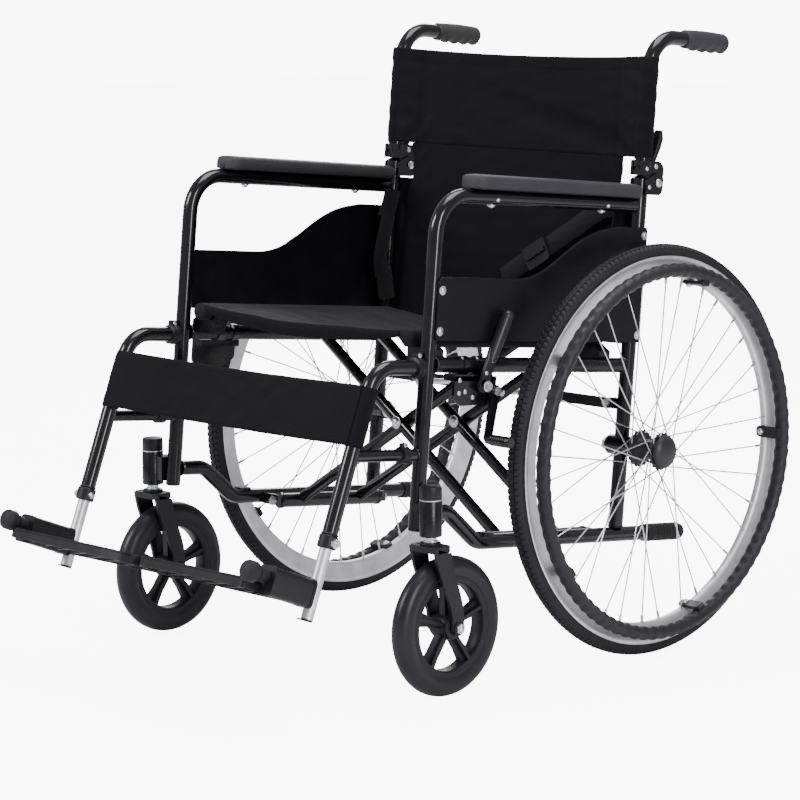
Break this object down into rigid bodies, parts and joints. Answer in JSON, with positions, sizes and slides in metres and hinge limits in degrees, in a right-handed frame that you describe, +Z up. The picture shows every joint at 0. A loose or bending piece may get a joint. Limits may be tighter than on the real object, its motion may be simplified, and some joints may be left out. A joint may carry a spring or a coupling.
{
  "type": "manual wheelchair",
  "caption": "Folding manual wheelchair with scissor frame, push rims, swivel casters, flip-up footplates and half-folding sling back.",
  "frame": {"origin": "on the floor, under the middle of the chair's box", "axes": "+Z up, the chair faces -Y, +X is the sitter's left"},
  "size_m": [0.724, 1.0566, 0.9184],
  "materials": {
    "black_paint": "gloss powder coat",
    "steel": "zinc plated",
    "rim_steel": "bright",
    "black_plastic": "moulded",
    "grey_foam": "skinned foam",
    "tyre_rubber": "matt",
    "black_fabric": "woven nylon",
    "webbing": "ribbed webbing"
  },
  "bodies": {
    "left_frame": {"left_arm_frame": "black_paint", "left_lower_rail": "black_paint", "left_side_tube": "black_paint", "left_rear_post": "black_paint", "left_arm_pad": "grey_foam", "left_side_guard": "black_plastic", "left_legrest": "black_paint", "left_brake_bracket": "black_paint", "left_caster_housing": "black_paint", "back_sling_lower": "black_fabric", "calf_strap": "black_fabric", "left_belt_half": "webbing"},
    "right_frame": {"right_arm_frame": "black_paint", "right_lower_rail": "black_paint", "right_side_tube": "black_paint", "right_rear_post": "black_paint", "right_arm_pad": "grey_foam", "right_side_guard": "black_plastic", "right_legrest": "black_paint", "right_brake_bracket": "black_paint", "right_caster_housing": "black_paint", "right_belt_half": "webbing"},
    "left_brace": {"left_cross_brace": "black_paint", "right_seat_rail": "black_paint", "right_seat_half": "black_fabric"},
    "right_brace": {"right_cross_brace": "black_paint", "left_seat_rail": "black_paint", "left_seat_half": "black_fabric"},
    "left_link": {"left_link_bar": "black_paint"},
    "left_back": {"left_back_cane": "black_paint", "left_push_grip": "grey_foam", "back_sling_upper": "black_fabric"},
    "left_latch": {"left_back_latch": "black_plastic"},
    "left_wheel": {"left_rear_tyre": "tyre_rubber", "left_rear_rim": "rim_steel", "left_wheel_hub": "steel", "left_hand_rim": "black_plastic"},
    "left_swivel": {"left_caster_fork": "black_plastic"},
    "left_caster": {"left_caster_tyre": "tyre_rubber", "left_caster_wheel": "black_plastic"},
    "left_brake": {"left_brake_lever": "black_plastic"},
    "left_shoe": {"left_brake_shoe": "black_plastic"},
    "left_slider": {"left_foot_slider": "steel"},
    "left_plate": {"left_footplate": "black_plastic"},
    "right_link": {"right_link_bar": "black_paint"},
    "right_back": {"right_back_cane": "black_paint", "right_push_grip": "grey_foam"},
    "right_latch": {"right_back_latch": "black_plastic"},
    "right_wheel": {"right_rear_tyre": "tyre_rubber", "right_rear_rim": "rim_steel", "right_wheel_hub": "steel", "right_hand_rim": "black_plastic"},
    "right_swivel": {"right_caster_fork": "black_plastic"},
    "right_caster": {"right_caster_tyre": "tyre_rubber", "right_caster_wheel": "black_plastic"},
    "right_brake": {"right_brake_lever": "black_plastic"},
    "right_shoe": {"right_brake_shoe": "black_plastic"},
    "right_slider": {"right_foot_slider": "steel"},
    "right_plate": {"right_footplate": "black_plastic"}
  },
  "joints": [
    {"name": "frame_fold", "type": "hinge", "parent": "left_frame", "child": "left_brace", "pos_m": [0.221, 0.01121, 0.1878], "axis": [0, 0.9954, -0.0958], "range_deg": [0, 44], "deforming": ["left_seat_half", "right_seat_half", "back_sling_upper", "back_sling_lower", "calf_strap", "left_belt_half", "right_belt_half"]},
    {"name": "cross_pivot", "type": "hinge", "parent": "left_brace", "child": "right_brace", "pos_m": [0, 0.08488, 0.32688], "axis": [0, 0.9954, -0.0958], "range_deg": [-88, 0]},
    {"name": "right_rail_hinge", "type": "hinge", "parent": "right_brace", "child": "right_frame", "pos_m": [-0.221, 0.01121, 0.1878], "axis": [0, 0.9954, -0.0958], "range_deg": [0, 44]},
    {"name": "left_link_hinge", "type": "hinge", "parent": "left_frame", "child": "left_link", "pos_m": [0.2466, 0.20946, 0.36863], "axis": [0, 0.9954, -0.0958], "range_deg": [0, 68]},
    {"name": "right_link_hinge", "type": "hinge", "parent": "right_frame", "child": "right_link", "pos_m": [-0.2466, 0.20946, 0.36863], "axis": [0, 0.9954, -0.0958], "range_deg": [-68, 0]},
    {"name": "left_footplate_flip", "type": "hinge", "parent": "left_slider", "child": "left_plate", "pos_m": [0.26, -0.44923, 0.19349], "axis": [0, 0.9323, -0.3616], "range_deg": [0, 101.2]},
    {"name": "right_footplate_flip", "type": "hinge", "parent": "right_slider", "child": "right_plate", "pos_m": [-0.26, -0.44923, 0.19349], "axis": [0, 0.9323, -0.3616], "range_deg": [-101.2, 0]},
    {"name": "left_back_fold", "type": "hinge", "parent": "left_frame", "child": "left_back", "pos_m": [0.26, 0.2809, 0.69328], "axis": [-1, 0, 0], "range_deg": [0, 140]},
    {"name": "left_latch_release", "type": "hinge", "parent": "left_back", "child": "left_latch", "pos_m": [0.26, 0.28121, 0.71736], "axis": [-1, 0, 0], "range_deg": [0, 20], "stiffness_Nm_per_rad": 0.5, "springref_deg": -5.73},
    {"name": "left_wheel_spin", "type": "hinge", "parent": "left_frame", "child": "left_wheel", "pos_m": [0.321, 0.22342, 0.305], "axis": [1, 0, 0], "continuous": true},
    {"name": "left_caster_swivel", "type": "hinge", "parent": "left_frame", "child": "left_swivel", "pos_m": [0.2975, -0.21658, 0.1], "axis": [0, 0, 1], "continuous": true},
    {"name": "left_caster_spin", "type": "hinge", "parent": "left_swivel", "child": "left_caster", "pos_m": [0.2975, -0.18658, 0.1], "axis": [1, 0, 0], "continuous": true},
    {"name": "left_brake_lever_turn", "type": "hinge", "parent": "left_frame", "child": "left_brake", "pos_m": [0.286, -0.10013, 0.42958], "axis": [1, 0, 0], "range_deg": [0, 44]},
    {"name": "left_brake_shoe_turn", "type": "hinge", "parent": "left_frame", "child": "left_shoe", "pos_m": [0.293, -0.08288, 0.42089], "axis": [1, 0, 0], "range_deg": [0, 11]},
    {"name": "left_footrest_height", "type": "slide", "parent": "left_frame", "child": "left_slider", "axis": [0, -0.3616, -0.9323], "range_m": [-0.03, 0.06]},
    {"name": "right_back_fold", "type": "hinge", "parent": "right_frame", "child": "right_back", "pos_m": [-0.26, 0.2809, 0.69328], "axis": [-1, 0, 0], "range_deg": [0, 140]},
    {"name": "right_latch_release", "type": "hinge", "parent": "right_back", "child": "right_latch", "pos_m": [-0.26, 0.28121, 0.71736], "axis": [-1, 0, 0], "range_deg": [0, 20], "stiffness_Nm_per_rad": 0.5, "springref_deg": -5.73},
    {"name": "right_wheel_spin", "type": "hinge", "parent": "right_frame", "child": "right_wheel", "pos_m": [-0.321, 0.22342, 0.305], "axis": [1, 0, 0], "continuous": true},
    {"name": "right_caster_swivel", "type": "hinge", "parent": "right_frame", "child": "right_swivel", "pos_m": [-0.2975, -0.21658, 0.1], "axis": [0, 0, 1], "continuous": true},
    {"name": "right_caster_spin", "type": "hinge", "parent": "right_swivel", "child": "right_caster", "pos_m": [-0.2975, -0.18658, 0.1], "axis": [1, 0, 0], "continuous": true},
    {"name": "right_brake_lever_turn", "type": "hinge", "parent": "right_frame", "child": "right_brake", "pos_m": [-0.286, -0.10013, 0.42958], "axis": [1, 0, 0], "range_deg": [0, 44]},
    {"name": "right_brake_shoe_turn", "type": "hinge", "parent": "right_frame", "child": "right_shoe", "pos_m": [-0.293, -0.08288, 0.42089], "axis": [1, 0, 0], "range_deg": [0, 11]},
    {"name": "right_footrest_height", "type": "slide", "parent": "right_frame", "child": "right_slider", "axis": [0, -0.3616, -0.9323], "range_m": [-0.03, 0.06]}
  ],
  "couplings": [
    {"joint": "cross_pivot", "follows": "frame_fold", "ratio": -2},
    {"joint": "right_rail_hinge", "follows": "frame_fold", "ratio": 1},
    {"joint": "left_link_hinge", "follows": "frame_fold", "ratio": 1.5446},
    {"joint": "right_link_hinge", "follows": "frame_fold", "ratio": -1.5446},
    {"joint": "left_footplate_flip", "follows": "frame_fold", "ratio": 2.3},
    {"joint": "right_footplate_flip", "follows": "frame_fold", "ratio": -2.3},
    {"joint": "right_back_fold", "follows": "left_back_fold", "ratio": 1},
    {"joint": "left_brake_shoe_turn", "follows": "left_brake_lever_turn", "ratio": 0.25},
    {"joint": "right_brake_shoe_turn", "follows": "right_brake_lever_turn", "ratio": 0.25}
  ]
}
